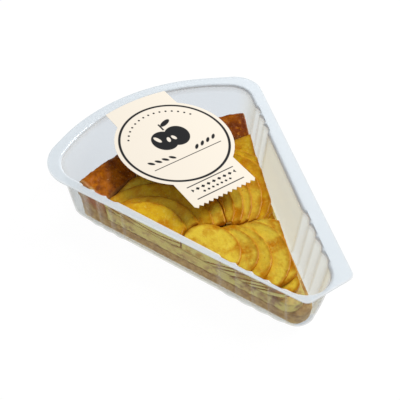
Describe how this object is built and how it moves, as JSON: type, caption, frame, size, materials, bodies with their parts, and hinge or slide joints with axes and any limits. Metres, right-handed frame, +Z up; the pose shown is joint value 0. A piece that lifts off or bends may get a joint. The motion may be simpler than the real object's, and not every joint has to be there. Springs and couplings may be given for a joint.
{
  "type": "packed apple tart slice",
  "caption": "Wedge of baked apple tart in its own sealed clear tray, with fanned apple slices, a browned rim, a clear lid film and a paper label.",
  "frame": {"origin": "centre of the pack's underside, the bottom centre of its box", "axes": "+Z up, +Y from the slice's narrow tip to its wide crust end, +X to the right seen from the tip"},
  "size_m": [0.1218, 0.1574, 0.03],
  "materials": {
    "clear_tray": "clear thermoformed plastic",
    "lid_film": "thin clear film",
    "label_paper": "uncoated cream paper",
    "pastry": "baked and glazed shortcrust",
    "apple_filling": "moist baked apple",
    "baked_apple": "glazed baked apple"
  },
  "bodies": {
    "root": {"tray": "clear_tray", "lid_film": "lid_film", "label": "label_paper", "pastry": "pastry", "apple_filling": "apple_filling", "apple_slice_front_1": "baked_apple", "apple_slice_front_2": "baked_apple", "apple_slice_front_3": "baked_apple", "apple_slice_front_4": "baked_apple", "apple_slice_front_5": "baked_apple", "apple_slice_front_6": "baked_apple", "apple_slice_left_1": "baked_apple", "apple_slice_left_2": "baked_apple", "apple_slice_left_3": "baked_apple", "apple_slice_left_4": "baked_apple", "apple_slice_right_1": "baked_apple", "apple_slice_right_2": "baked_apple", "apple_slice_right_3": "baked_apple", "apple_slice_right_4": "baked_apple", "apple_slice_right_5": "baked_apple", "apple_slice_right_6": "baked_apple", "apple_slice_right_7": "baked_apple", "apple_slice_right_8": "baked_apple"}
  },
  "joints": []
}
